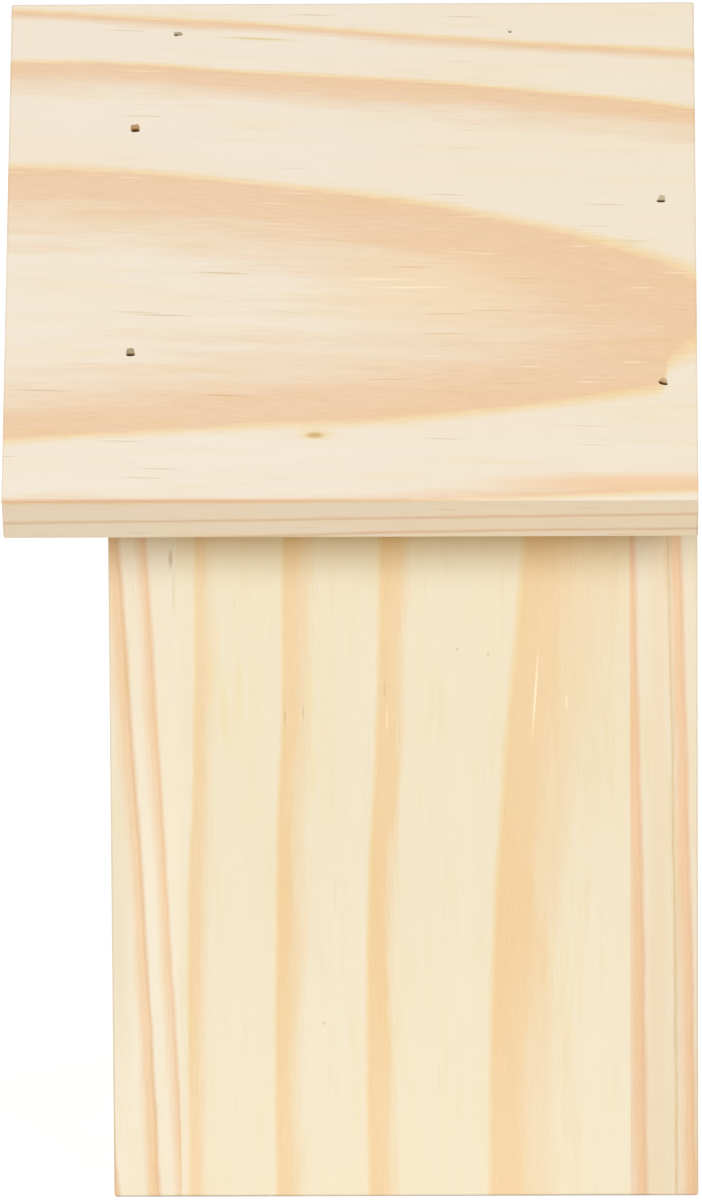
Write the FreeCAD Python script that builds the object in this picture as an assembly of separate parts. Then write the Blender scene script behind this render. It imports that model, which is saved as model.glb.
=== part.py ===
import FreeCAD, Part

import math
import os

from FreeCAD import Vector

# Butterfly house of planed pine boards, butted and nailed with square brads.
# Frame: +Z up, front towards -Y, back towards +Y, right towards +X as seen from the front.
# The origin lies on the base plane, under the middle of the roof.

# Driving dimensions, in millimetres and degrees
BOARD = 12.0  # thickness of every board
HEIGHT = 206.0  # base to ridge
BODY_WIDTH = 110.0  # across the front panel
SIDE_DEPTH = 80.0  # side panel, front to back, held between the front and back panels
FRONT_OVERHANG = 18.0  # roof beyond the front panel
ROOF_SPAN = 150.0  # eave to eave
ROOF_PITCH = 45.0  # slope of both roof boards, so that they meet square at the ridge

SLOT_WIDTH = 10.0  # entrance slots, cut with round ends
SLOT_SPACING = 26.0  # middle slot to outer slot
SLOT_SILL = 46.0  # base to the lowest point of each slot
SLOT_HEADROOM = 42.0  # top of each slot up to the roof's underside above it

HANGING_HOLE = 8.0  # diameter of the hole through the back panel
HANGING_HOLE_DROP = 23.0  # underside of the ridge down to the hole's centre

BRAD_LENGTH = 30.0
BRAD_SHANK = 1.2  # square section
BRAD_HEAD = 1.9  # square head
BRAD_HEAD_THICKNESS = 0.8
BRAD_SUNK = 1.4  # head below the surface of the board

# Places of the brads
RIDGE_BRAD_FRONT_INSET = 30.0  # front edge of the roof to the first ridge brad
RIDGE_BRAD_BACK_INSET = 33.0  # back edge of the roof to the second ridge brad
FRONT_GABLE_BRAD_SHIFT = 1.8  # roof brads over the front panel, ahead of its mid thickness
FRONT_GABLE_RIDGE_INSET = 15.0  # down the slope from the gable's peak
FRONT_GABLE_EAVE_INSET = 15.0  # up the slope from the gable's shoulder
BACK_GABLE_RIDGE_INSET = 30.5
BACK_GABLE_EAVE_INSET = 8.5
LEFT_BRAD_STEP = 2.5  # left roof brads behind the right ones, so that they pass inside the panels
WALL_BRAD_LOW_INSET = 26.0  # base to the lower brad in each side panel
WALL_BRAD_HIGH_INSET = 24.0  # shoulder down to the upper brad in each side panel
FLOOR_BRAD_INSET = 20.0  # end of the floor to its brads

# Sizes that follow
BODY_DEPTH = SIDE_DEPTH + 2 * BOARD
ROOF_DEPTH = FRONT_OVERHANG + BODY_DEPTH
ROOF_FRONT = -ROOF_DEPTH / 2
ROOF_BACK = ROOF_DEPTH / 2
FRONT_FACE = ROOF_FRONT + FRONT_OVERHANG
FRONT_INSIDE = FRONT_FACE + BOARD
BACK_FACE = ROOF_BACK
BACK_INSIDE = BACK_FACE - BOARD
HALF_WIDTH = BODY_WIDTH / 2
PITCH = math.radians(ROOF_PITCH)
PEAK = HEIGHT - BOARD / math.cos(PITCH)  # underside of the ridge
SHOULDER = PEAK - HALF_WIDTH * math.tan(PITCH)  # top of the walls' outer faces
SLOPE_LENGTH = ROOF_SPAN / 2 / math.cos(PITCH)
GABLE_SLOPE = HALF_WIDTH / math.cos(PITCH)
LAP = BOARD / math.sin(2 * PITCH)  # upper end of the right roof board, along the left slope

RIGHT = 1
LEFT = -1


def down_slope(side):
    """Unit vector from the ridge towards the eave of one side."""
    return Vector(side * math.cos(PITCH), 0, -math.sin(PITCH))


def out_of_slope(side):
    """Unit vector square to the roof of one side, pointing up and out."""
    return Vector(side * math.sin(PITCH), 0, math.cos(PITCH))


RIDGE = Vector(0, 0, HEIGHT)
GABLE_PEAK = Vector(0, 0, PEAK)
RIDGE_LAP = RIDGE + down_slope(LEFT) * LAP  # the left top face meets the right underside here


def prism_along_y(corners, front, back):
    """Solid with the given outline in the XZ plane, from front to back."""
    points = [Vector(p.x, front, p.z) for p in corners]
    outline = Part.makePolygon(points + points[:1])
    return Part.Face(outline).extrude(Vector(0, back - front, 0))


def block(low, high):
    """Box between two opposite corners."""
    size = high - low
    return Part.makeBox(size.x, size.y, size.z, low)


def square_bar(start, along, width, length):
    """Square bar that starts at a point and runs along a unit vector, with two faces square to Y or Z."""
    level = Vector(0, 0, 1) if abs(along.y) > 0.5 else Vector(0, 1, 0)
    across = along.cross(level)
    signs = ((-1, -1), (1, -1), (1, 1), (-1, 1))
    corners = [start + across * (a * width / 2) + level * (b * width / 2) for a, b in signs]
    outline = Part.makePolygon(corners + corners[:1])
    return Part.Face(outline).extrude(along * length)


def brad(surface_point, into):
    """One brad driven into a surface, and the hole that it leaves there."""
    head_top = surface_point + into * BRAD_SUNK
    head = square_bar(head_top, into, BRAD_HEAD, BRAD_HEAD_THICKNESS)
    shank = square_bar(head_top, into, BRAD_SHANK, BRAD_LENGTH)
    nail = head.fuse(shank).removeSplitter()
    mouth = surface_point - into * BRAD_HEAD
    pocket = square_bar(mouth, into, BRAD_HEAD, BRAD_HEAD + BRAD_SUNK)
    return nail, nail.fuse(pocket)


def brad_group(points, into):
    """A row of brads driven the same way: the nails, and the holes they leave."""
    pairs = [brad(point, into) for point in points]
    return [nail for nail, _ in pairs], [hole for _, hole in pairs]


def roof_board_outline(side):
    """Outline of one roof board. The right board laps over the top end of the left one."""
    ridge_end = RIDGE if side == RIGHT else RIDGE_LAP
    inner_end = RIDGE_LAP if side == RIGHT else GABLE_PEAK
    eave_top = RIDGE + down_slope(side) * SLOPE_LENGTH
    eave_low = eave_top - out_of_slope(side) * BOARD
    return [ridge_end, eave_top, eave_low, inner_end]


def roof_board(side):
    return prism_along_y(roof_board_outline(side), ROOF_FRONT, ROOF_BACK)


def gable_outline():
    return [
        Vector(-HALF_WIDTH, 0, 0),
        Vector(HALF_WIDTH, 0, 0),
        Vector(HALF_WIDTH, 0, SHOULDER),
        GABLE_PEAK,
        Vector(-HALF_WIDTH, 0, SHOULDER),
    ]


def roof_line(x):
    """Height of the roof's underside, out from the middle."""
    return PEAK - abs(x) * math.tan(PITCH)


def entrance_slot(centre_x):
    """Cutter for one upright slot with round ends, right through the front panel."""
    radius = SLOT_WIDTH / 2
    low = SLOT_SILL + radius
    high = roof_line(centre_x) - SLOT_HEADROOM - radius
    through = Vector(0, 1, 0)
    cutter = block(Vector(centre_x - radius, FRONT_FACE, low), Vector(centre_x + radius, FRONT_INSIDE, high))
    for end in (low, high):
        cutter = cutter.fuse(Part.makeCylinder(radius, BOARD, Vector(centre_x, FRONT_FACE, end), through))
    return cutter


def front_panel():
    panel = prism_along_y(gable_outline(), FRONT_FACE, FRONT_INSIDE)
    return panel.cut([entrance_slot(x) for x in (-SLOT_SPACING, 0, SLOT_SPACING)])


def back_panel():
    panel = prism_along_y(gable_outline(), BACK_INSIDE, BACK_FACE)
    mouth = Vector(0, BACK_INSIDE, PEAK - HANGING_HOLE_DROP)
    return panel.cut(Part.makeCylinder(HANGING_HOLE / 2, BOARD, mouth, Vector(0, 1, 0)))


def side_panel(side):
    """Wall between the front and back panels, its top edge bevelled to the roof."""
    outer = side * HALF_WIDTH
    inner = side * (HALF_WIDTH - BOARD)
    corners = [
        Vector(inner, 0, 0),
        Vector(outer, 0, 0),
        Vector(outer, 0, SHOULDER),
        Vector(inner, 0, roof_line(inner)),
    ]
    return prism_along_y(corners, FRONT_INSIDE, BACK_INSIDE)


def floor_panel():
    inner = HALF_WIDTH - BOARD
    return block(Vector(-inner, FRONT_INSIDE, 0), Vector(inner, BACK_INSIDE, BOARD))


def roof_brads(side):
    """Brads through one roof board into the sloping edges of the front and back panels."""
    step = LEFT_BRAD_STEP if side == LEFT else 0
    front_y = FRONT_FACE + BOARD / 2 - FRONT_GABLE_BRAD_SHIFT + step
    back_y = BACK_FACE - BOARD / 2 + step
    places = [
        (FRONT_GABLE_RIDGE_INSET, front_y),
        (GABLE_SLOPE - FRONT_GABLE_EAVE_INSET, front_y),
        (BACK_GABLE_RIDGE_INSET, back_y),
        (GABLE_SLOPE - BACK_GABLE_EAVE_INSET, back_y),
    ]
    lift = out_of_slope(side) * BOARD
    points = [GABLE_PEAK + down_slope(side) * s + lift + Vector(0, y, 0) for s, y in places]
    return brad_group(points, -out_of_slope(side))


def ridge_brads():
    """Brads through the right roof board into the top end of the left one."""
    into = down_slope(LEFT)
    mid_end = (RIDGE_LAP + GABLE_PEAK) * 0.5
    top = mid_end - into * LAP
    rows = (ROOF_FRONT + RIDGE_BRAD_FRONT_INSET, ROOF_BACK - RIDGE_BRAD_BACK_INSET)
    return brad_group([top + Vector(0, y, 0) for y in rows], into)


def wall_brads(face_y, into):
    """Brads through the front or back panel into the ends of both side panels."""
    reach = HALF_WIDTH - BOARD / 2
    heights = (WALL_BRAD_LOW_INSET, SHOULDER - WALL_BRAD_HIGH_INSET)
    return brad_group([Vector(side * reach, face_y, z) for side in (LEFT, RIGHT) for z in heights], into)


def floor_brads(face_y, into):
    """Brads through the front or back panel into the end of the floor."""
    reach = HALF_WIDTH - BOARD - FLOOR_BRAD_INSET
    return brad_group([Vector(side * reach, face_y, BOARD / 2) for side in (LEFT, RIGHT)], into)


def build():
    """Every piece by name."""
    boards = {
        "right_roof_board": roof_board(RIGHT),
        "left_roof_board": roof_board(LEFT),
        "front_panel": front_panel(),
        "back_panel": back_panel(),
        "right_side_panel": side_panel(RIGHT),
        "left_side_panel": side_panel(LEFT),
        "floor_panel": floor_panel(),
    }
    backwards = Vector(0, 1, 0)
    forwards = Vector(0, -1, 0)
    brads = {
        "ridge_brads": ridge_brads(),
        "right_roof_brads": roof_brads(RIGHT),
        "left_roof_brads": roof_brads(LEFT),
        "front_wall_brads": wall_brads(FRONT_FACE, backwards),
        "back_wall_brads": wall_brads(BACK_FACE, forwards),
        "front_floor_brads": floor_brads(FRONT_FACE, backwards),
        "back_floor_brads": floor_brads(BACK_FACE, forwards),
    }
    holes = [hole for _, group in brads.values() for hole in group]
    pieces = {}
    for name, board in boards.items():
        near = [hole for hole in holes if hole.BoundBox.intersect(board.BoundBox)]
        pieces[name] = board.cut(near).removeSplitter()
    for name, (nails, _) in brads.items():
        pieces[name] = Part.makeCompound(nails)
    return pieces


def main():
    os.makedirs("parts", exist_ok=True)
    for name, shape in build().items():
        solids = shape.Solids
        piece = solids[0] if len(solids) == 1 else Part.makeCompound(solids)
        piece.exportStep(os.path.join("parts", name + ".step"))
        print(f"{name}: {len(solids)} solids, {piece.Volume:.1f} mm3, valid {piece.isValid()}")


main()
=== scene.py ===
import math
from collections import namedtuple

import bmesh
import bpy
from mathutils import Matrix, Vector
from mathutils.bvhtree import BVHTree
from mathutils.geometry import delaunay_2d_cdt
from mathutils.noise import noise as unevenness


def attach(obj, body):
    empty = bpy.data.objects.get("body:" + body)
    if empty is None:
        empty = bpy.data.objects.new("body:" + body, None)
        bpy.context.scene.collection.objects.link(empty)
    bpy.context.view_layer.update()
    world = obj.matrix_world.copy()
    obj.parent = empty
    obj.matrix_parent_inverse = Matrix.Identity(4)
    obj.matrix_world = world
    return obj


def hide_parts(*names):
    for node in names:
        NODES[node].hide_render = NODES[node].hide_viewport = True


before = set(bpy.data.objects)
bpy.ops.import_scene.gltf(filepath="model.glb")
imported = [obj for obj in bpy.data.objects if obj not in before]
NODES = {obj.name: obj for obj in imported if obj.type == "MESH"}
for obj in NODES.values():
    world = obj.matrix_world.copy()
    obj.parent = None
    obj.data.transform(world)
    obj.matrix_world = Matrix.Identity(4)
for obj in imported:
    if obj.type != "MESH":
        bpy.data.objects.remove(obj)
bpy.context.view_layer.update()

# Looks of a butterfly house nailed together from planed pine boards.
# The front faces -Y and the photographed side faces +X. Scene lengths are metres.
# Each board is worked in millimetres: along its grain, across its face and down from its outer face.

MM = 0.001

UP = Vector((0, 0, 1))
BACKWARDS = Vector((0, 1, 0))
RIGHTWARDS = Vector((1, 0, 0))
ROOF_PITCH = math.radians(45)  # the roof boards meet square at the ridge
DOWN_RIGHT_ROOF = Vector((math.cos(ROOF_PITCH), 0, -math.sin(ROOF_PITCH)))
DOWN_LEFT_ROOF = Vector((-math.cos(ROOF_PITCH), 0, -math.sin(ROOF_PITCH)))


# Shader and object helpers

def linear(hex_colour):
    """sRGB hex to the linear colour that shaders take."""
    channels = [int(hex_colour[i:i + 2], 16) / 255 for i in (1, 3, 5)]
    return [c / 12.92 if c <= 0.04045 else ((c + 0.055) / 1.055) ** 2.4 for c in channels] + [1.0]


def blend(first, second, share):
    """Linear colour part of the way from one to another."""
    return [a + (b - a) * share for a, b in zip(first, second)]


def add(tree, kind, *inputs, out=0, named=None, **settings):
    """Adds a shader node and returns one output.

    Inputs are values or other outputs, by name or in the order of the sockets in use.
    """
    node = tree.nodes.new("ShaderNode" + kind)
    for name, value in settings.items():
        setattr(node, name, value)
    sockets = list(zip([socket for socket in node.inputs if socket.enabled], inputs))
    sockets += [(node.inputs[name], value) for name, value in (named or {}).items()]
    for socket, value in sockets:
        if isinstance(value, bpy.types.NodeSocket):
            tree.links.new(value, socket)
        else:
            socket.default_value = value
    if isinstance(out, str):
        return node.outputs[out]
    return [socket for socket in node.outputs if socket.enabled][out]


def lumps(tree, place, sizes, seed, detail=2.0, roughness=0.5):
    """Uneven pattern whose lumps have the given sizes in millimetres along, across and into a board."""
    scaled = add(tree, "VectorMath", place, [1 / size for size in sizes], operation="MULTIPLY")
    sockets = {"Vector": scaled, "W": seed, "Scale": 1.0, "Detail": detail, "Roughness": roughness}
    return add(tree, "TexNoise", named=sockets, noise_dimensions="4D")


def new_material(name):
    """Material with no nodes but its output, and that output's surface socket."""
    material = bpy.data.materials.new(name)
    material.use_nodes = True
    tree = material.node_tree
    tree.nodes.clear()
    surface = tree.nodes.new("ShaderNodeOutputMaterial").inputs["Surface"]
    return material, tree, surface


def add_object(name, data):
    """New object in the scene."""
    made = bpy.data.objects.new(name, data)
    bpy.context.scene.collection.objects.link(made)
    return made


# Boards and the logs they were sawn from

# A ring runs round the pith, or is kept to the side of it towards the board's first edge or its last.
ROUND_PITH = 0
BEFORE_PITH = -1
BEYOND_PITH = 1

# A ring's dark latewood ends in a hard line on its bark side,
# and past the latewood's own width it fades towards the pith.
# line is that hard line's radius along the board, as (along, radius).
# Where tones is None, the ring has the colours of its log.
Ring = namedtuple("Ring", "latewood fade line side tones", defaults=[ROUND_PITH, None])
# A mark is an oval spot in the wood: its middle and half sizes, along, across and into the board,
# and how far it leans across the board per millimetre along it.
Mark = namedtuple("Mark", "middle half_sizes colour strength blend_type lean", defaults=["MIX", 0.0])
# Colours of pale earlywood, dark latewood and the rim along the latewood's hard line
Tones = namedtuple("Tones", "early late rim")
# Place of the pith across the board, its height in front of the outer face,
# and how far it and the fibres lean across the board per millimetre along it
Pith = namedtuple("Pith", "across height lean", defaults=[0.0])
# canals is the strength of the resin dashes, and wood with more of them has coarser fibre.
Log = namedtuple("Log", "pith rings tones canals marks", defaults=[0.3, ()])


class Board:
    """A board's own directions and sizes, read from its CAD node."""

    def __init__(self, node, along, across):
        self.name = node
        self.mesh = NODES[node].data
        self.axes = (along, across, along.cross(across))
        places = [[v.co.dot(axis) / MM for v in self.mesh.vertices] for axis in self.axes]
        self.start = Vector([min(p) for p in places])
        self.length, self.width, self.thickness = (max(p) - min(p) for p in places)
        turned = Matrix.Scale(1 / MM, 4) @ Matrix(self.axes).to_4x4()
        self.to_board = Matrix.Translation(-self.start) @ turned

    def place(self, tree):
        """Place in the board in millimetres, for its material."""
        metres = add(tree, "TexCoord", out="Object")
        turn = Matrix(self.axes).to_euler()
        return add(tree, "Mapping", metres, -self.start, turn, [1 / MM] * 3)


right_roof = Board("right_roof_board", BACKWARDS, DOWN_RIGHT_ROOF)
left_roof = Board("left_roof_board", -BACKWARDS, DOWN_LEFT_ROOF)
front = Board("front_panel", UP, RIGHTWARDS)
back = Board("back_panel", UP, -RIGHTWARDS)
right_side = Board("right_side_panel", UP, BACKWARDS)
left_side = Board("left_side_panel", UP, -BACKWARDS)
floor_board = Board("floor_panel", RIGHTWARDS, -BACKWARDS)

ARCH_SWAY = 0.25  # how far arches stray from even spacing, as a share of it
ARCH_BEAT = 2.4  # radians of that swaying from one arch to the next
ARCH_FADE = 1.5  # an arch's fade, as a share of its latewood


def aside(pith, along, across):
    """How far a place across the board is from the leaning pith."""
    return across - pith.lean * along - pith.across


def face_line(pith, *places):
    """Radii of a ring from places (along, across) of its hard line on the outer face."""
    return [(along, math.hypot(aside(pith, along, across), pith.height)) for along, across in places]


def edge_line(pith, across, *places):
    """Radii of a ring from places (along, depth) of its hard line on an edge of the board."""
    return [
        (along, math.hypot(aside(pith, along, across), pith.height + depth))
        for along, depth in places]


def arches(board, inner, spacing, count, taper, latewood):
    """Rings of a face that the photo doesn't show: arches that narrow along the board."""
    rings = []
    for k in range(count):
        radius = inner + spacing * (k + ARCH_SWAY * math.sin(ARCH_BEAT * k))
        line = [(0, radius), (board.length, radius - taper * board.length)]
        rings.append(Ring(latewood, ARCH_FADE * latewood, line))
    return rings


def dashes(places, half_sizes, colour, strength, blend_type="MIX", lean=0.0):
    """Marks of one kind at places (along, across) on a board's outer face."""
    middles = [(along, across, 0) for along, across in places]
    return [Mark(middle, half_sizes, colour, strength, blend_type, lean) for middle in middles]


# Pine

PINK_PINE = Tones("#e6dac8", "#e1c19f", "#ebcfa6")
YELLOW_PINE = Tones("#e3d9c1", "#e2c292", "#e6cb9c")
PALE_PINE = Tones("#e5dcc7", "#e2c5a1", "#dab994")
TAN_PINE = Tones("#dfd2ba", "#dfbd99", "#dab794")
EAVE_TONES = PINK_PINE._replace(late="#dfc4a4", rim="#cfb18f")
PALE_TONES = YELLOW_PINE._replace(late="#e2c69c")
SOFT_TONES = PALE_PINE._replace(late="#e3c9a9", rim="#dfbf9c")
FAINT_TONES = TAN_PINE._replace(late="#dac7a5", rim="#d2ba92")
RESIN = "#c8ad81"  # resin canals cut open in earlywood
PALE_CANAL = "#f3e0bf"  # empty canals cut open in latewood
FILLED_CANAL = "#d8b282"  # canals in latewood that are still full of resin
KNOT = "#c29c5c"
SPECK = "#a98d63"
CLOUDS = "#fff9ee"  # multiplies the wood's colour in broad warm clouds
WISPS = "#fdfbef"  # and in thin yellow wisps
END_GRAIN = "#eadfcd"  # multiplies the wood's colour where the fibres are cut across
UNCHANGED = "#ffffff"  # leaves a colour that it multiplies as it is
HANDLED = "#9f8e69"  # rubbed arrises and bruised fibres
RUSTED = "#a8773f"  # wood with a little rust from a brad in it
IRON_STAIN = "#745330"  # wood with much rust in it
HALF_STAINED = 0.5  # wood stained this far is rusted, and from there it turns to iron stain

# Sizes of the wood's patterns in millimetres: along, across and into a board
WAVER_SIZE = (18, 12, 12)
PATCH_SIZE = (35, 3, 3)
FIBRE_SIZE = (10, 0.4, 0.4)
FLECK_SIZE = (4.5, 0.35, 0.35)
CLOUD_SIZE = (60, 9, 9)
WISP_SIZE = (25, 2, 2)
PORE_SIZE = (3, 0.35, 0.35)
CANAL_STRETCH = (28, 0.9, 0.9)  # holds one resin canal at most

# Distances in millimetres
WAVER = 0.35  # the rings sway this far to either side, at most
LINE_SOFTNESS = 0.27  # half width of a ring's hard line
LINE_FRAY = 0.12  # how far single fibres carry that line to either side, at most
RIM_WIDTH = 0.55  # the rim just inside that line
LEAST_SPAN = 0.01  # range of radii given to the curve of a ring that keeps one radius
OUTSIDE = -1.0  # well outside a ring's hard line, as a distance inside it
FIBRE_RELIEF = 0.06  # height of the planed fibres

# Values of a pattern, from where a feature begins to where it is full
MOST_LUMPS = (0.25, 0.75)  # nearly all of a pattern lies between these
MIDDLE_LUMPS = 0.5
CLOUDED = (0.35, 0.75)
WISPY = (0.52, 0.75)
PALE_FLECKS = (0.58, 0.68)
DARK_FLECKS = (0.32, 0.42)  # full at the first, and gone at the second
CANAL_EDGE = (0.15, 0.25)  # the same, as distances from a canal's middle in shares of its stretch
CANAL_CHANCE = (0.4, 0.8)  # so two fifths of the stretches have no canal
CANAL_RAGGED = 0.15  # how far fibres carry a canal's edge, in the same shares

# Strengths
FADE_STEPS = ((0.0, 0.08), (0.3, 0.45), (0.65, 0.7), (1.0, 1.0))  # share of a fade, and its paleness
PATCHINESS = 0.25  # how far patches of fibre carry latewood past its mean fade
STREAKINESS = 0.18  # the same for single fibres
EARLY_CONTRAST = 0.025  # of the fibres in earlywood
LATE_CONTRAST = 0.05  # and in latewood
COARSE_CONTRAST = 0.07  # added there where canals have their full strength
FLECK_STRENGTH = 0.55  # of a short fleck beside the long fibres
CLOUD_STRENGTH = 0.6
MARK_CORE = 0.2  # a mark is full within this share of its size
END_FACING = (0.94, 0.99)  # how squarely a surface looks along the fibres where they count as cut across
BUMP_STRENGTH = 0.3
SPECULAR = 0.2
ROUGHNESS = (0.6, 0.74)  # of sunken fibres and of raised ones


def ring_radius(tree, share, line, length):
    """Radius of a ring's hard line at each place along the board."""
    radii = [radius for _, radius in line]
    low = min(radii)
    span = max(max(radii) - low, LEAST_SPAN)
    height = add(tree, "FloatCurve", 1.0, share)
    mapping = height.node.mapping
    points = mapping.curves[0].points
    for point, (along, radius) in zip((points[0], points[1]), (line[0], line[-1])):
        point.location = (along / length, (radius - low) / span)
    for along, radius in line[1:-1]:
        points.new(along / length, (radius - low) / span)
    mapping.update()
    return add(tree, "Math", height, span, low, operation="MULTIPLY_ADD")


def ring_colour(tree, inside, ring, tones):
    """Colour at a distance inside a ring's hard line."""
    early, late, rim = (linear(tone) for tone in tones)
    faded = ring.latewood + ring.fade
    stops = [(LINE_SOFTNESS, rim), (RIM_WIDTH, late)]
    for share, paleness in FADE_STEPS:
        stops.append((ring.latewood + share * ring.fade, blend(late, early, paleness)))
    depth = add(tree, "MapRange", inside, -LINE_SOFTNESS, faded, 0.0, 1.0)
    colour = add(tree, "ValToRGB", depth)
    elements = colour.node.color_ramp.elements
    elements.remove(elements[1])
    elements[0].color = early
    for distance, shade in stops:
        elements.new((distance + LINE_SOFTNESS) / (faded + LINE_SOFTNESS)).color = shade
    return colour


def grain(tree, board, log, place, reach, fray):
    """Wood colour from the growth rings. reach scales their latewood, and fray shifts their hard lines."""
    apart = add(tree, "SeparateXYZ", place).node.outputs
    share = add(tree, "Math", apart[0], board.length, operation="DIVIDE")
    sides = {
        BEFORE_PITH: add(tree, "Math", apart[1], log.pith.across, operation="LESS_THAN"),
        BEYOND_PITH: add(tree, "Math", apart[1], log.pith.across, operation="GREATER_THAN")}
    to_pith = (0, -log.pith.across, log.pith.height)
    from_pith = add(tree, "VectorMath", place, (0, 1, 1), to_pith, operation="MULTIPLY_ADD")
    radius = add(tree, "VectorMath", from_pith, out="Value", operation="LENGTH")
    radius = add(tree, "Math", radius, fray)
    colour = None
    for ring in log.rings:
        line = ring_radius(tree, share, ring.line, board.length)
        inside = add(tree, "Math", line, radius, operation="SUBTRACT")
        inside = add(tree, "Math", inside, reach, operation="MULTIPLY")
        if ring.side in sides:
            inside = add(tree, "Mix", sides[ring.side], OUTSIDE, inside)
        shade = ring_colour(tree, inside, ring, ring.tones or log.tones)
        if colour:
            shade = add(tree, "Mix", 1.0, colour, shade, data_type="RGBA", blend_type="DARKEN")
        colour = shade
    return colour


def fade_reach(tree, leaning, fibre, seed):
    """Uneven end of the latewood: patches a few millimetres wide, and single bundles of fibre."""
    patches = lumps(tree, leaning, PATCH_SIZE, seed + 1)
    patch_reach = add(tree, "MapRange", patches, *MOST_LUMPS, 1 - PATCHINESS, 1 + PATCHINESS)
    fibre_reach = add(tree, "MapRange", fibre, *MOST_LUMPS, 1 - STREAKINESS, 1 + STREAKINESS)
    return add(tree, "Math", patch_reach, fibre_reach, operation="MULTIPLY")


def lateness(tree, wood, tones):
    """0 on earlywood to 1 on latewood."""
    early, late = linear(tones.early), linear(tones.late)
    blue = add(tree, "SeparateColor", wood, out="Blue")
    return add(tree, "MapRange", blue, early[2], late[2], 0.0, 1.0)


def show_fibre(tree, wood, fibre, flecks, late, coarseness):
    """Light and dark fibres, long ones and short flecks, which latewood shows most."""
    most = LATE_CONTRAST + COARSE_CONTRAST * coarseness
    contrast = add(tree, "MapRange", late, 0.0, 1.0, EARLY_CONTRAST, most)
    pale = add(tree, "MapRange", flecks, *PALE_FLECKS, 0.0, FLECK_STRENGTH)
    dark = add(tree, "MapRange", flecks, *DARK_FLECKS, -FLECK_STRENGTH, 0.0)
    both = add(tree, "Math", fibre, add(tree, "Math", pale, dark))
    centred = add(tree, "Math", both, MIDDLE_LUMPS, operation="SUBTRACT")
    tone = add(tree, "Math", centred, contrast, 1.0, operation="MULTIPLY_ADD")
    return add(tree, "VectorMath", wood, tone, operation="MULTIPLY")


def warm(tree, wood, leaning, clouds, seed):
    """Wood with broad warm clouds and thin yellow wisps."""
    warmth = add(tree, "MapRange", clouds, *CLOUDED, 0.0, CLOUD_STRENGTH)
    wood = add(tree, "Mix", warmth, wood, linear(CLOUDS), data_type="RGBA", blend_type="MULTIPLY")
    wisps = add(tree, "MapRange", lumps(tree, leaning, WISP_SIZE, seed + 5), *WISPY, 0.0, 1.0)
    return add(tree, "Mix", wisps, wood, linear(WISPS), data_type="RGBA", blend_type="MULTIPLY")


def resin_dashes(tree, wood, leaning, fibre, late, strength, seed):
    """Wood with cut resin canals, tan in earlywood and pale in latewood, and how open they are."""
    shrunk = [1 / size for size in CANAL_STRETCH]
    scaled = add(tree, "VectorMath", leaning, shrunk, [seed] * 3, operation="MULTIPLY_ADD")
    canal = add(tree, "TexVoronoi", named={"Vector": scaled, "Scale": 1.0}).node.outputs
    ragged = add(tree, "Math", fibre, CANAL_RAGGED, canal["Distance"], operation="MULTIPLY_ADD")
    dash = add(tree, "MapRange", ragged, *CANAL_EDGE, 1.0, 0.0)
    chance = add(tree, "SeparateColor", canal["Color"])
    share = add(tree, "MapRange", chance, *CANAL_CHANCE, 0.0, strength)
    colour = add(tree, "Mix", late, linear(RESIN), linear(PALE_CANAL), data_type="RGBA")
    openness = add(tree, "Math", dash, share, operation="MULTIPLY")
    return add(tree, "Mix", openness, wood, colour, data_type="RGBA"), openness


def stain(tree, wood, place, mark):
    """Wood with one oval mark."""
    apart = add(tree, "VectorMath", place, mark.middle, operation="SUBTRACT")
    if mark.lean:
        along = add(tree, "SeparateXYZ", apart)
        apart = add(tree, "VectorMath", along, (0, -mark.lean, 0), apart, operation="MULTIPLY_ADD")
    scaled = add(tree, "VectorMath", apart, mark.half_sizes, operation="DIVIDE")
    distance = add(tree, "VectorMath", scaled, out="Value", operation="LENGTH")
    spot = add(
        tree, "MapRange", distance, MARK_CORE, 1.0, mark.strength, 0.0, interpolation_type="SMOOTHSTEP")
    return add(tree, "Mix", spot, wood, linear(mark.colour), data_type="RGBA", blend_type=mark.blend_type)


def sawn_ends(tree, board):
    """1 where the fibres are cut across, and 0 along them."""
    normal = add(tree, "TexCoord", out="Normal")
    facing = add(tree, "VectorMath", normal, board.axes[0], out="Value", operation="DOT_PRODUCT")
    return add(tree, "MapRange", add(tree, "Math", facing, operation="ABSOLUTE"), *END_FACING, 0.0, 1.0)


def wear(tree, wood, clouds):
    """Wood with rubbed arrises, bruised fibres over the brads and stained ones in their holes."""
    worn = add(tree, "Attribute", out="Fac", attribute_name="worn")
    rubbed = add(tree, "Math", worn, clouds, operation="MULTIPLY")
    wood = add(tree, "Mix", rubbed, wood, linear(HANDLED), data_type="RGBA")
    stained = add(tree, "Attribute", out="Fac", attribute_name="stained")
    rusted = add(tree, "MapRange", stained, 0.0, HALF_STAINED, 0.0, 1.0)
    wood = add(tree, "Mix", rusted, wood, linear(RUSTED), data_type="RGBA")
    darkened = add(tree, "MapRange", stained, HALF_STAINED, 1.0, 0.0, 1.0)
    return add(tree, "Mix", darkened, wood, linear(IRON_STAIN), data_type="RGBA")


def wood_places(tree, board, pith, seed):
    """Places in a board: straight, leaning with the fibres, and also swaying with the rings."""
    straight = board.place(tree)
    apart = add(tree, "SeparateXYZ", straight).node.outputs
    drift = add(tree, "Math", apart[0], -pith.lean, apart[1], operation="MULTIPLY_ADD")
    waver = lumps(tree, straight, WAVER_SIZE, seed, detail=3.0)
    sway = add(tree, "MapRange", waver, 0.0, 1.0, -WAVER, WAVER)
    leaning = add(tree, "CombineXYZ", apart[0], drift, apart[2])
    swaying = add(tree, "CombineXYZ", apart[0], add(tree, "Math", drift, sway), apart[2])
    return straight, leaning, swaying


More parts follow.
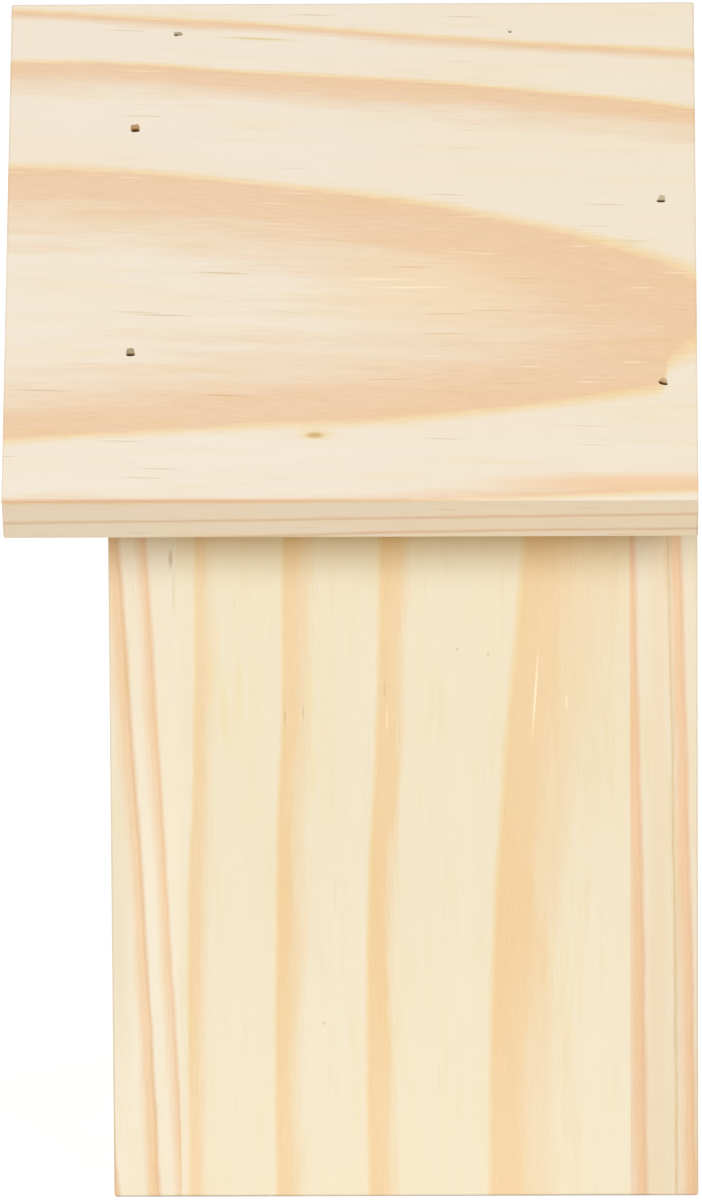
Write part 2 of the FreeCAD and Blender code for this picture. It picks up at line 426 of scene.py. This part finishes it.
def pine(board, log, seed):
    """Planed, untreated pine: cream earlywood, peach latewood lines and fine fibre, with a dull sheen."""
    material, tree, surface = new_material(board.name + "_planed_pine")
    straight, leaning, swaying = wood_places(tree, board, log.pith, seed)
    fibre = lumps(tree, leaning, FIBRE_SIZE, seed + 2, detail=3.0, roughness=0.65)
    flecks = lumps(tree, leaning, FLECK_SIZE, seed + 6, detail=1.0)
    clouds = lumps(tree, leaning, CLOUD_SIZE, seed + 3)
    pores = lumps(tree, straight, PORE_SIZE, seed + 4)

    fray = add(tree, "MapRange", flecks, 0.0, 1.0, -LINE_FRAY, LINE_FRAY)
    wood = grain(tree, board, log, swaying, fade_reach(tree, leaning, fibre, seed), fray)
    late = lateness(tree, wood, log.tones)
    wood = show_fibre(tree, wood, fibre, flecks, late, log.canals)
    wood = warm(tree, wood, leaning, clouds, seed)
    wood, openness = resin_dashes(tree, wood, leaning, fibre, late, log.canals, seed)
    for mark in log.marks:
        wood = stain(tree, wood, straight, mark)
    # Sawn ends show the cut fibres as pores, and drink the light
    end = sawn_ends(tree, board)
    porous = add(tree, "Mix", pores, linear(END_GRAIN), linear(UNCHANGED), data_type="RGBA")
    wood = add(tree, "Mix", end, wood, porous, data_type="RGBA", blend_type="MULTIPLY")
    wood = wear(tree, wood, clouds)

    texture = add(tree, "Mix", end, fibre, pores)
    height = add(tree, "Math", texture, openness, operation="SUBTRACT")
    relief = {"Strength": BUMP_STRENGTH, "Distance": FIBRE_RELIEF * MM, "Height": height}
    bump = add(tree, "Bump", named=relief)
    rough = add(tree, "MapRange", texture, *MOST_LUMPS, *ROUGHNESS)
    sockets = {"Base Color": wood, "Roughness": rough, "Specular IOR Level": SPECULAR, "Normal": bump}
    tree.links.new(add(tree, "BsdfPrincipled", named=sockets), surface)
    return material


# Grain of the right roof board

ROOF_PITH = Pith(across=64.2, height=60.0, lean=0.03)
ROOF_END = right_roof.length
EAVE = right_roof.width
# Hard lines on its face, as (along, across), from the ridge to the eave
RIDGE_LINE = face_line(ROOF_PITH, (0, 1.0), (37, 3.5), (84, 7.7), (ROOF_END, 10.3))
UPPER_BAND = face_line(
    ROOF_PITH, (0, 12.1), (19, 12.5), (36, 14.0), (65, 16.1), (102, 19.7), (ROOF_END, 22.7))
HEART_TOP = face_line(
    ROOF_PITH, (0, 34.5), (20, 35.5), (38, 37.6), (64, 40.9), (92, 46.8), (ROOF_END, 57.2))
HEART_FOOT = face_line(
    ROOF_PITH, (0, 94.0), (15, 92.9), (42, 91.4), (66, 90.2), (93, 87.2),
    (112, 84.4), (115.5, 83.8), (117, 79.0), (ROOF_END, 75.8))
LOWER_BAND = face_line(ROOF_PITH, (0, 107.6), (60, 107.2), (92, 106.0), (ROOF_END, 104.7))
# And on the eave's edge, as (along, depth)
EAVE_LINE = edge_line(ROOF_PITH, EAVE, (0, 7.4), (ROOF_END, 5.0))
LOW_EAVE_LINE = edge_line(ROOF_PITH, EAVE, (0, 14.0), (48, 11.6), (80, 10.3), (ROOF_END, 9.7))
# Canals in its cream wood, and pale and filled ones in its heart, as (along, across)
LONG_CANALS = [(28, 67.0), (38.3, 58.1), (38.7, 84.0), (6.6, 82.8)]
PALE_CANALS = [
    (101.5, 52.6), (112.5, 61.5), (84.4, 54.2), (92.8, 78.1),
    (102.7, 81.4), (110.8, 77.3), (75.4, 75.9), (118.2, 58.3)]
FILLED_CANALS = [
    (77.8, 66.9), (86.4, 66.2), (91.7, 59.4), (77.2, 71.1),
    (67.7, 80.7), (89.7, 81.7), (71.4, 56.9)]

right_roof_log = Log(
    ROOF_PITH,
    [
        Ring(0.9, 1.0, RIDGE_LINE, BEFORE_PITH),
        Ring(2.1, 3.1, UPPER_BAND, BEFORE_PITH),
        Ring(2.9, 3.2, HEART_TOP, BEFORE_PITH),
        Ring(2.3, 3.5, HEART_FOOT, BEYOND_PITH),
        Ring(0.7, 1.0, LOWER_BAND, BEYOND_PITH),
        Ring(0.5, 0.5, EAVE_LINE, BEYOND_PITH, EAVE_TONES),
        Ring(0.5, 0.5, LOW_EAVE_LINE, BEYOND_PITH, EAVE_TONES),
    ],
    PINK_PINE,
    canals=0.6,
    marks=[
        # Yellower towards the back, and painted light that makes the eave's edge paler
        Mark((ROOF_END, EAVE / 2, 0), (80, 150, 40), "#fefcf3", 0.35, "MULTIPLY"),
        Mark((ROOF_END / 2, EAVE, right_roof.thickness / 2), (200, 2, 12), "#ecdfca", 0.3),
        # A brown line rubbed along the eave's arris
        Mark((20, EAVE, 0), (90, 0.6, 0.6), "#c9976a", 0.6),
        # Peach on the heart's flank, and along the lower band at the back
        Mark((74, 62, 0), (30, 12, 5), "#e9cfa8", 0.45),
        Mark((112, 102.4, 0), (38, 2.6, 3), "#e6c096", 0.8),
        # A small pin knot
        Mark((55.0, 92.2, 0), (5.0, 1.8, 3), "#e6cc9c", 0.7),
        Mark((54.8, 92.4, 0), (2.2, 0.9, 3), KNOT, 0.8),
        # A yellow thread under the ridge's line, and long pale canals in the heart
        Mark((44, 7.75, 0), (9, 0.4, 2), "#f1e8c0", 0.9, "MULTIPLY", 0.06),
        Mark((72.0, 61.3, 0), (9.0, 0.3, 1), PALE_CANAL, 0.9),
        Mark((66.0, 59.6, 0), (8.0, 0.25, 1), PALE_CANAL, 0.7),
    ] + dashes(LONG_CANALS, (7, 0.2, 1), RESIN, 0.8, lean=0.04)
    + dashes(PALE_CANALS, (3, 0.3, 1), PALE_CANAL, 0.5)
    + dashes(FILLED_CANALS, (6, 0.28, 1), FILLED_CANAL, 0.6))


# Grain of the right side panel

SIDE_PITH = Pith(across=86.0, height=40.0)
WALL_TOP = right_side.length - right_side.thickness  # of its outer face, as its top slopes with the roof
WALL_MIDDLE = right_side.width / 2
# Hard lines on its face, as (along, across), from the front to the back
FRONT_BAND = face_line(SIDE_PITH, (0, 1.4), (52, 1.6), (78, 2.6), (WALL_TOP, 3.3))
SECOND_BAND = face_line(SIDE_PITH, (0, 16.75), (65, 17.3), (90, 18.3), (WALL_TOP, 18.8))
THIRD_BAND = face_line(SIDE_PITH, (0, 33.2), (40, 33.1), (90, 35.1), (WALL_TOP, 36.0))
BROAD_BAND = face_line(SIDE_PITH, (0, 54.6), (40, 55.3), (78, 57.4), (103, 59.6), (WALL_TOP, 62.1))
# Small marks, as (along, across)
YELLOW_FLECKS = [(89, 8.2), (92, 11.0), (95, 5.8), (92, 23.5), (78, 23.8)]
FINE_CRACKS = [(87.6, 19.0), (88.5, 22.2), (92.5, 36.6)]
SPECKS = [(31.8, 25.5), (99.8, 49.5), (98.9, 55.0)]

right_side_log = Log(
    SIDE_PITH,
    [
        Ring(1.6, 2.0, FRONT_BAND, tones=PALE_TONES),
        Ring(2.0, 3.2, SECOND_BAND),
        Ring(2.8, 1.6, THIRD_BAND),
        Ring(3.4, 4.2, BROAD_BAND),
    ],
    YELLOW_PINE,
    canals=0.2,
    marks=[
        # Painted shade and warm bounce light under the eave: the wall grows duller, yellower and darker
        # towards it
        Mark((WALL_TOP, WALL_MIDDLE, 0), (WALL_TOP, 200, 30), "#d5c6a9", 0.3),
        Mark((WALL_TOP, WALL_MIDDLE, 0), (25, 200, 30), "#fbf1d4", 1.0, "MULTIPLY"),
        # A yellower patch high on the wall, towards the back
        Mark((100, 75, 0), (50, 10, 5), "#dcc394", 0.2),
        # Paler at the foot and along the front
        Mark((0, WALL_MIDDLE, 0), (60, 90, 10), "#eadfc5", 0.25),
        Mark((85, 0, 0), (60, 2.2, 4), "#e6ddc8", 0.2),
        # Pale threads of resin in the bands
        Mark((91.7, 63.3, 0), (11, 0.28, 1), PALE_CANAL, 0.9, lean=0.07),
        Mark((90.2, 68.8, 0), (2.2, 0.25, 1), PALE_CANAL, 0.6),
        Mark((87.4, 37.0, 0), (3.5, 0.25, 1), PALE_CANAL, 0.5),
    ] + dashes(YELLOW_FLECKS, (9, 0.9, 2), "#fffad4", 0.4, "MULTIPLY")
    + dashes(FINE_CRACKS, (2.2, 0.2, 1), SPECK, 0.35)
    + dashes(SPECKS, (0.5, 0.35, 1), SPECK, 0.35))


# Grain of the front panel, whose last edge is photographed

FRONT_PITH = Pith(across=58.0, height=45.0)
FRONT_EDGE = front.width
# Hard lines on that edge, as (along, depth)
CORNER_LINE = edge_line(FRONT_PITH, FRONT_EDGE, (0, 1.1), (14, 0.0), (front.length, -6.0))
MIDDLE_LINE = edge_line(
    FRONT_PITH, FRONT_EDGE, (0, 8.3), (55, 5.8), (90, 3.7), (120, 2.0), (front.length, -2.0))
INNER_LINE = edge_line(
    FRONT_PITH, FRONT_EDGE, (0, 12.5), (20, 11.8), (54, 10.1), (120, 6.7), (front.length, 3.2))

front_log = Log(
    FRONT_PITH,
    arches(front, inner=48.0, spacing=4.0, count=5, taper=0.03, latewood=1.0) + [
        Ring(0.6, 1.0, CORNER_LINE),
        Ring(1.2, 1.2, MIDDLE_LINE),
        Ring(0.8, 0.9, INNER_LINE, tones=SOFT_TONES),
    ],
    PALE_PINE,
    canals=0.2,
    marks=[
        # Painted shade under the eave makes the edge duller towards it, and it is duller along the front
        Mark((150, FRONT_EDGE, front.thickness / 2), (110, 3, 30), "#f8f4f1", 1.0, "MULTIPLY"),
        Mark((55, FRONT_EDGE, 1.5), (45, 3, 3.2), "#d9c9a9", 0.5),
        # A short crack under the eave
        Mark((116.3, FRONT_EDGE, 11.0), (2.4, 2, 0.5), "#b79a72", 0.6),
        Mark((110, FRONT_EDGE, 11.5), (5, 2, 0.3), "#cdb48c", 0.4),
    ])


# Grain of the back panel, whose first edge is photographed

BACK_PITH = Pith(across=60.0, height=-57.0)
BACK_EDGE = 0
# Hard lines on that edge, as (along, depth), from the wall to the back
BY_WALL_LINE = edge_line(BACK_PITH, BACK_EDGE, (0, 9.0), (55, 9.7), (120, 11.0), (back.length, 12.0))
FAINT_LINE = edge_line(BACK_PITH, BACK_EDGE, (0, 3.6), (55, 3.9), (120, 4.9), (back.length, 6.0))
OUTER_LINE = edge_line(BACK_PITH, BACK_EDGE, (0, 0.2), (55, 1.2), (120, 2.8), (back.length, 4.0))

back_log = Log(
    BACK_PITH,
    arches(back, inner=56.0, spacing=3.6, count=5, taper=0.02, latewood=1.0) + [
        Ring(1.0, 1.2, BY_WALL_LINE),
        Ring(0.3, 0.2, FAINT_LINE, tones=FAINT_TONES),
        Ring(1.0, 1.2, OUTER_LINE),
    ],
    TAN_PINE,
    canals=0.2,
    marks=[
        # A warm streak down the middle of the edge
        Mark((60, BACK_EDGE, 7.0), (150, 3, 2.2), "#dfc5a0", 0.35),
    ])


# Grain of the boards that the photo doesn't show

left_roof_log = Log(
    Pith(across=45.0, height=50.0, lean=-0.03),
    arches(left_roof, inner=54.0, spacing=7.0, count=6, taper=0.04, latewood=1.4),
    PINK_PINE,
    canals=0.5)
left_side_log = Log(
    Pith(across=30.0, height=45.0),
    arches(left_side, inner=48.0, spacing=6.0, count=6, taper=0.03, latewood=1.2),
    YELLOW_PINE,
    canals=0.2)
floor_log = Log(
    Pith(across=40.0, height=40.0),
    arches(floor_board, inner=43.0, spacing=6.0, count=5, taper=0.04, latewood=1.2),
    PINK_PINE)

LOGS = {
    right_roof: right_roof_log,
    left_roof: left_roof_log,
    right_side: right_side_log,
    left_side: left_side_log,
    front: front_log,
    back: back_log,
    floor_board: floor_log}
SEED_STEP = 10.0  # from one board's patterns to the next board's


# Finishing the boards

# Lengths here are in board millimetres.
FLAT = math.radians(1)  # faces within this angle are one face
WELD = 0.005  # vertices this near are one
FACES_ROUND_HOLES = 5  # the kind of output asked of the constrained triangulation
TOUCHING = 0.05  # an arris this near to another board is a joint, and stays sharp
ARRIS = math.radians(30)  # least turn between the two faces of an arris
EASED = 0.35  # width taken off a free arris
ARRIS_WEAR = 0.12
BRAD_REACH = 3.5  # the hole over a brad lies within this distance of its head
UPRIGHT = 0.5  # most that a hole's wall faces along the board's thickness
FACING_OUT = -0.99  # an outer face looks against the board's depth

# The board whose outer face each group of brads goes in through
ENTERED = {
    "ridge_brads": right_roof,
    "right_roof_brads": right_roof,
    "left_roof_brads": left_roof,
    "front_wall_brads": front,
    "front_floor_brads": front,
    "back_wall_brads": back,
    "back_floor_brads": back}

# Fibres spring back over a brad and leave an opening between them.
# middle is the opening's middle, from the brad's own,
# and opening is its half sizes along and across the board before its turn, which is in degrees.
# sunken is how far from that middle the fibres are pressed in, towards the board's start, end,
# first edge and last edge. bruise and rust are how bruised and how rusty those fibres are.
Mouth = namedtuple("Mouth", "middle opening sunken bruise rust turn", defaults=[0.0, 0])
MOUTHS = [
    Mouth((-0.45, 0.80), (0.38, 0.20), (0.45, 1.15, 0.62, 0.25), bruise=1.0, turn=-25),
    Mouth((0.10, 0.35), (0.24, 0.21), (0.50, 0.35, 0.85, 0.25), bruise=0.2),
    Mouth((0.30, 0.32), (0.66, 0.44), (0.85, 0.75, 1.15, 0.52), bruise=0.4, rust=0.42),
    Mouth((0.02, 0.46), (0.72, 0.33), (0.75, 0.68, 1.30, 0.40), bruise=0.85),
    Mouth((-0.18, 0.48), (0.72, 0.30), (0.45, 0.75, 1.25, 0.36), bruise=0.8),
    Mouth((-0.05, 0.36), (0.80, 0.32), (0.55, 0.75, 1.08, 0.34), bruise=0.6, rust=0.18, turn=20)]
RIM_POINTS = 24  # of each torn outline, with one at each corner of the brad's head
RAGGED = 0.2  # unevenness of a torn outline, as a share of its size
TEARS = 2.0  # how fast that unevenness changes round the outline
LIP = 0.08  # least width of the sunken fibres round the opening
LIP_DEPTH = 0.3  # the fibres are pressed in this far at the opening
THROAT = 0.5  # size of the hole further in, as a share of the opening
THROAT_DEPTH = 0.9
BRUISING = 2.0  # wear of fully bruised fibres, which clouds halve
SQUARENESS = 3.3  # of these outlines: 2 is round, and more is squarer


def brad_heads(board, brads):
    """Middles of the tops of a group's brad heads, in board millimetres, from start to end."""
    places = [board.to_board @ v.co for v in NODES[brads].data.vertices]
    top = min(place.z for place in places)
    heads = []
    for place in places:
        if place.z < top + WELD:
            group = next((g for g in heads if (g[0] - place).length < BRAD_REACH), None)
            if group:
                group.append(place)
            else:
                heads.append([place])
    middles = [sum(group, Vector()) / len(group) for group in heads]
    return sorted(middles, key=lambda middle: (round(middle.x), middle.y))


def heads_in(board):
    """Heads of all the brads that go in through a board's outer face."""
    groups = [brads for brads, entered in ENTERED.items() if entered is board]
    return [head for brads in groups for head in brad_heads(board, brads)]


def free_arrises(shape, neighbours, heads):
    """Outer edges of a board that no other board covers."""
    found = []
    for edge in shape.edges:
        middle = (edge.verts[0].co + edge.verts[1].co) / 2
        by_brad = any((middle - head).length < BRAD_REACH for head in heads)
        joined = any(faces.find_nearest(middle, TOUCHING)[0] for faces in neighbours)
        if edge.is_convex and edge.calc_face_angle() > ARRIS and not by_brad and not joined:
            found.append(edge)
    return found


def ease(shape, worn, neighbours, heads):
    """Rubs down the free arrises."""
    arrises = free_arrises(shape, neighbours, heads)
    rubbed = bmesh.ops.bevel(shape, geom=arrises, offset=EASED, segments=2, profile=0.5, affect="EDGES")
    for face in rubbed["faces"]:
        face.smooth = True
        face[worn] = ARRIS_WEAR


def hole_walls(shape, head):
    """Walls of the square hole between a brad's head and the board's outer face."""
    return [
        face for face in shape.faces
        if abs(face.normal.z) < UPRIGHT and all((v.co - head).length < BRAD_REACH for v in face.verts)
        and face.calc_center_median().z < head.z]


def outline(reaches, angle):
    """Distance from the middle of a squarish oval to its outline. Its reaches are to -x, +x, -y and +y."""
    x, y = math.cos(angle), math.sin(angle)
    shares = (abs(x) / reaches[x > 0], abs(y) / reaches[2 + (y > 0)])
    return sum(share ** SQUARENESS for share in shares) ** (-1 / SQUARENESS)


def bearing(way):
    """Angle of a way along and across the board, from 0 to a full turn."""
    return math.atan2(way.y, way.x) % math.tau


def torn_rings(shape, head, half_head, mouth, seed):
    """Rings of vertices down a torn hole: sunken fibres, opening, throat and the brad's head."""
    along, across = mouth.opening
    middle = head.xy + Vector(mouth.middle)
    rings = [[], [], [], []]
    for k in range(RIM_POINTS):
        angle = math.tau * k / RIM_POINTS
        way = Vector((math.cos(angle), math.sin(angle)))
        torn = 1 + RAGGED * unevenness(Vector((TEARS * way.x, TEARS * way.y, seed)))
        opening = torn * outline((along, along, across, across), angle - math.radians(mouth.turn))
        sunken = max(torn * outline(mouth.sunken, angle), opening + LIP)
        round_head = half_head / max(abs(way.x), abs(way.y))
        places = [
            (middle + way * sunken, 0.0),
            (middle + way * opening, LIP_DEPTH),
            (middle + way * opening * THROAT, THROAT_DEPTH),
            (head.xy + way * round_head, head.z)]
        for ring, (place, depth) in zip(rings, places):
            ring.append(shape.verts.new((*place, depth)))
    return rings


def tear(shape, worn, stained, head, mouth, seed):
    """Turns the square hole over a brad into a torn one, with a ragged opening that narrows inwards."""
    walls = hole_walls(shape, head)
    # Corners of the hole at the seat of the brad's head
    corners = {vert for face in walls for vert in face.verts if vert.co.z > head.z}
    corners = sorted(corners, key=lambda vert: bearing(vert.co - head))
    half_head = corners[0].co.x - head.x
    bmesh.ops.delete(shape, geom=walls, context="FACES")
    rings = torn_rings(shape, head, half_head, mouth, seed)

    # The rustier the wood, the browner its hole
    dark = 1 - mouth.rust / 2
    stains = [(BRUISING * mouth.bruise, mouth.rust), (0.0, dark), (0.0, dark)]
    for upper, lower, (bruised, rusty) in zip(rings, rings[1:], stains):
        for k in range(RIM_POINTS):
            face = shape.faces.new((upper[k - 1], upper[k], lower[k], lower[k - 1]))
            face.smooth = True
            face[worn] = bruised
            face[stained] = rusty
    side = RIM_POINTS // 4
    for k, corner in enumerate(corners):
        first = k * side - side // 2
        beside = [rings[-1][j] for j in range(first, first + side + 1)]
        shape.faces.new((corner, corners[k - 1], *beside))


def closed_loops(edges):
    """Loops of vertices along edges, each running the same way round."""
    joined = {}
    for edge in edges:
        for vert in edge.verts:
            joined.setdefault(vert, []).append(edge.other_vert(vert))
    loops = []
    while joined:
        vert = next(iter(joined))
        loop = []
        while vert in joined:
            loop.append(vert)
            vert = next((other for other in joined.pop(vert) if other in joined), None)
        places = [vert.co.xy for vert in loop]
        if sum(a.cross(b) for a, b in zip(places, places[1:] + places[:1])) < 0:
            loop.reverse()
        loops.append(loop)
    return loops


def refill(shape):
    """Fills a board's outer face again, round its torn holes."""
    shape.normal_update()
    outer = [
        face for face in shape.faces
        if face.normal.z < FACING_OUT and abs(face.calc_center_median().z) < WELD]
    bmesh.ops.delete(shape, geom=outer, context="FACES")
    loops = closed_loops([edge for edge in shape.edges if edge.is_boundary])
    verts = [vert for loop in loops for vert in loop]
    number = {vert: k for k, vert in enumerate(verts)}
    borders = [[number[vert] for vert in loop] for loop in loops]
    places = [vert.co.xy for vert in verts]
    for face in delaunay_2d_cdt(places, [], borders, FACES_ROUND_HOLES, WELD / 10)[2]:
        shape.faces.new([verts[k] for k in face])
    bmesh.ops.recalc_face_normals(shape, faces=shape.faces)


def finished(board, neighbours, heads, material):
    """The board as a finished piece, in place of its CAD node."""
    shape = bmesh.new()
    corners = [shape.verts.new(board.to_board @ v.co) for v in board.mesh.vertices]
    for face in board.mesh.polygons:
        shape.faces.new([corners[k] for k in face.vertices])
    bmesh.ops.remove_doubles(shape, verts=shape.verts, dist=WELD)
    bmesh.ops.dissolve_limit(shape, angle_limit=FLAT, verts=shape.verts, edges=shape.edges)
    # A new layer spoils those already taken, so both are made first
    shape.faces.layers.float.new("worn")
    shape.faces.layers.float.new("stained")
    worn, stained = (shape.faces.layers.float[name] for name in ("worn", "stained"))
    for k, head in enumerate(heads):
        tear(shape, worn, stained, head, MOUTHS[k % len(MOUTHS)], k)
    refill(shape)
    ease(shape, worn, neighbours, heads)
    shape.transform(board.to_board.inverted())
    mesh = bpy.data.meshes.new("planed_" + board.name)
    shape.to_mesh(mesh)
    shape.free()
    mesh.materials.append(material)
    piece = add_object("planed_" + board.name, mesh)
    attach(piece, "root")
    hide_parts(board.name)


def in_board(board, other):
    """Another board's faces, in this board's millimetres."""
    places = [board.to_board @ v.co for v in other.mesh.vertices]
    return BVHTree.FromPolygons(places, [face.vertices for face in other.mesh.polygons])


for order, (board, log) in enumerate(LOGS.items()):
    neighbours = [in_board(board, other) for other in LOGS if other is not board]
    finished(board, neighbours, heads_in(board), pine(board, log, SEED_STEP * order))


# Brads

DULL_STEEL = "#5d5546"
RUST = "#8a5a2b"
DAMP_SIZE = 12 * MM  # brads this far apart have met different damp
RUST_SPOT = 0.4 * MM
RUST_RANGE = (0.5, 1.2)  # sum of the two patterns where rust begins and where it is full
STEEL_ROUGHNESS = 0.5
RUST_ROUGHNESS = 0.85
STEEL_SHARE = 0.8  # bare metal in the colour of dull wire


def brad_wire():
    """Bare steel wire, drawn and then rusted by damp: grey olive on some brads and brown on others."""
    material, tree, surface = new_material("drawn_brad_steel_rusted")
    place = add(tree, "TexCoord", out="Object")
    damp = add(tree, "TexNoise", named={"Vector": place, "Scale": 1 / DAMP_SIZE, "Detail": 0.0})
    spots = add(tree, "TexNoise", named={"Vector": place, "Scale": 1 / RUST_SPOT, "Detail": 3.0})
    rust = add(tree, "MapRange", add(tree, "Math", damp, spots), *RUST_RANGE, 0.0, 1.0)
    colour = add(tree, "Mix", rust, linear(DULL_STEEL), linear(RUST), data_type="RGBA")
    rough = add(tree, "MapRange", rust, 0.0, 1.0, STEEL_ROUGHNESS, RUST_ROUGHNESS)
    metal = add(tree, "MapRange", rust, 0.0, 1.0, STEEL_SHARE, 0.0)
    sockets = {"Base Color": colour, "Roughness": rough, "Metallic": metal}
    tree.links.new(add(tree, "BsdfPrincipled", named=sockets), surface)
    return material


wire = brad_wire()
for brads in ENTERED:
    NODES[brads].data.materials.clear()
    NODES[brads].data.materials.append(wire)


# Studio

FLOOR_HALF = 4.0
FLOOR_DROP = 0.1 * MM  # under the base, so that the two faces don't coincide
PAPER = "#f0e4d3"
PAPER_FIBRES = "#f2e7d7"
PAPER_FIBRE_SIZE = 3.3 * MM
GLOW = 0.57  # added to the paper that the camera sees
GLOW_TINT = "#daeaff"  # cool, against the warm paper, so that its shadow is neutral
SKY = 0.42
SKY_TINT = "#ffeed8"
WHITE = "#ffffff"
LIGHT_TINT = "#e7f2ff"
LIGHT_DISTANCE = 2.2
LIGHT_SIZE = 1.1
# Two lights on the photographed side and two weaker ones on the far side.
# Degrees from +X towards the back, degrees above the floor, and power
SoftBox = namedtuple("SoftBox", "turn elevation watts")
SOFT_BOXES = {
    "front_key": SoftBox(-30, 25, 23.7),
    "back_key": SoftBox(30, 25, 23.7),
    "front_fill": SoftBox(-130, 15, 15.0),
    "back_fill": SoftBox(130, 15, 15.0)}

# Camera, fitted to the corners of the house in the photo
CAMERA_ELEVATION = math.radians(12.40)
CAMERA_TURN = math.radians(0.82)  # from +X towards the back
CAMERA_ROLL = math.radians(-0.36)
CAMERA_DISTANCE = 2.672
CAMERA_AIM = Vector((0, -0.97, 96.67)) * MM
CAMERA_REACH = 20.0  # past the far corners of the floor
LENS = 444.4  # millimetres, for a sensor whose long side is 36 mm
SENSOR = 36.0


def direction(turn, elevation):
    """Unit vector at a turn from +X towards the back and an elevation above the floor."""
    level = math.cos(elevation)
    return Vector((level * math.cos(turn), level * math.sin(turn), math.sin(elevation)))


def seen_or_mirrored(tree):
    """1 for what the camera sees, straight or by a shiny or clear surface, and 0 for other light."""
    rays = add(tree, "LightPath").node.outputs
    mirrored = add(tree, "Math", rays["Is Glossy Ray"], rays["Is Transmission Ray"], operation="MAXIMUM")
    return add(tree, "Math", rays["Is Camera Ray"], mirrored, operation="MAXIMUM")


def white_paper():
    """Matt white paper. The camera sees it brighter, so that it clears to white away from the shadow."""
    material, tree, surface = new_material("matt_white_paper")
    place = add(tree, "TexCoord", out="Object")
    pattern = {"Vector": place, "Scale": 1 / PAPER_FIBRE_SIZE, "Detail": 2.0}
    fibres = add(tree, "TexNoise", named=pattern)
    colour = add(tree, "Mix", fibres, linear(PAPER), linear(PAPER_FIBRES), data_type="RGBA")
    matt = add(tree, "BsdfDiffuse", colour)
    strength = add(tree, "Math", seen_or_mirrored(tree), GLOW, operation="MULTIPLY")
    glow = add(tree, "Emission", linear(GLOW_TINT), strength)
    tree.links.new(add(tree, "AddShader", matt, glow), surface)
    return material


def studio_floor():
    """Plain paper floor, wide enough to fill the photo's view."""
    mesh = bpy.data.meshes.new("studio_floor")
    sides = ((-1, -1), (1, -1), (1, 1), (-1, 1))
    corners = [(x * FLOOR_HALF, y * FLOOR_HALF, -FLOOR_DROP) for x, y in sides]
    mesh.from_pydata(corners, [], [(0, 1, 2, 3)])
    mesh.materials.append(white_paper())
    add_object("studio_floor", mesh)


def soft_box(name, turn, elevation, watts):
    """Large square light that faces the house."""
    light = bpy.data.lights.new(name, "AREA")
    light.size = LIGHT_SIZE
    light.energy = watts
    light.color = linear(LIGHT_TINT)[:3]
    box = add_object(name, light)
    towards = direction(math.radians(turn), math.radians(elevation))
    box.location = CAMERA_AIM + towards * LIGHT_DISTANCE
    box.rotation_euler = towards.to_track_quat("Z", "Y").to_euler()


def studio_world():
    """Even dim surroundings that the camera sees as white."""
    world = bpy.data.worlds.new("studio")
    world.use_nodes = True
    tree = world.node_tree
    tree.nodes.clear()
    seen = seen_or_mirrored(tree)
    strength = add(tree, "MapRange", seen, 0.0, 1.0, SKY, 1.0)
    colour = add(tree, "Mix", seen, linear(SKY_TINT), linear(WHITE), data_type="RGBA")
    surface = tree.nodes.new("ShaderNodeOutputWorld").inputs["Surface"]
    tree.links.new(add(tree, "Background", colour, strength), surface)
    bpy.context.scene.world = world


def photo_camera():
    """Camera at the photo's place."""
    data = bpy.data.cameras.new("photo_camera")
    data.lens = LENS
    data.sensor_width = SENSOR
    data.clip_end = CAMERA_REACH
    camera = add_object("photo_camera", data)
    towards = direction(CAMERA_TURN, CAMERA_ELEVATION)
    level = UP.cross(towards).normalized()
    upright = Matrix((level, towards.cross(level), towards)).transposed()
    turned = Matrix.Rotation(CAMERA_ROLL, 3, towards) @ upright
    camera.matrix_world = Matrix.Translation(CAMERA_AIM + towards * CAMERA_DISTANCE) @ turned.to_4x4()
    bpy.context.scene.camera = camera


studio_floor()
studio_world()
for name, box in SOFT_BOXES.items():
    soft_box(name, *box)
photo_camera()
bpy.context.scene.view_settings.view_transform = "Standard"
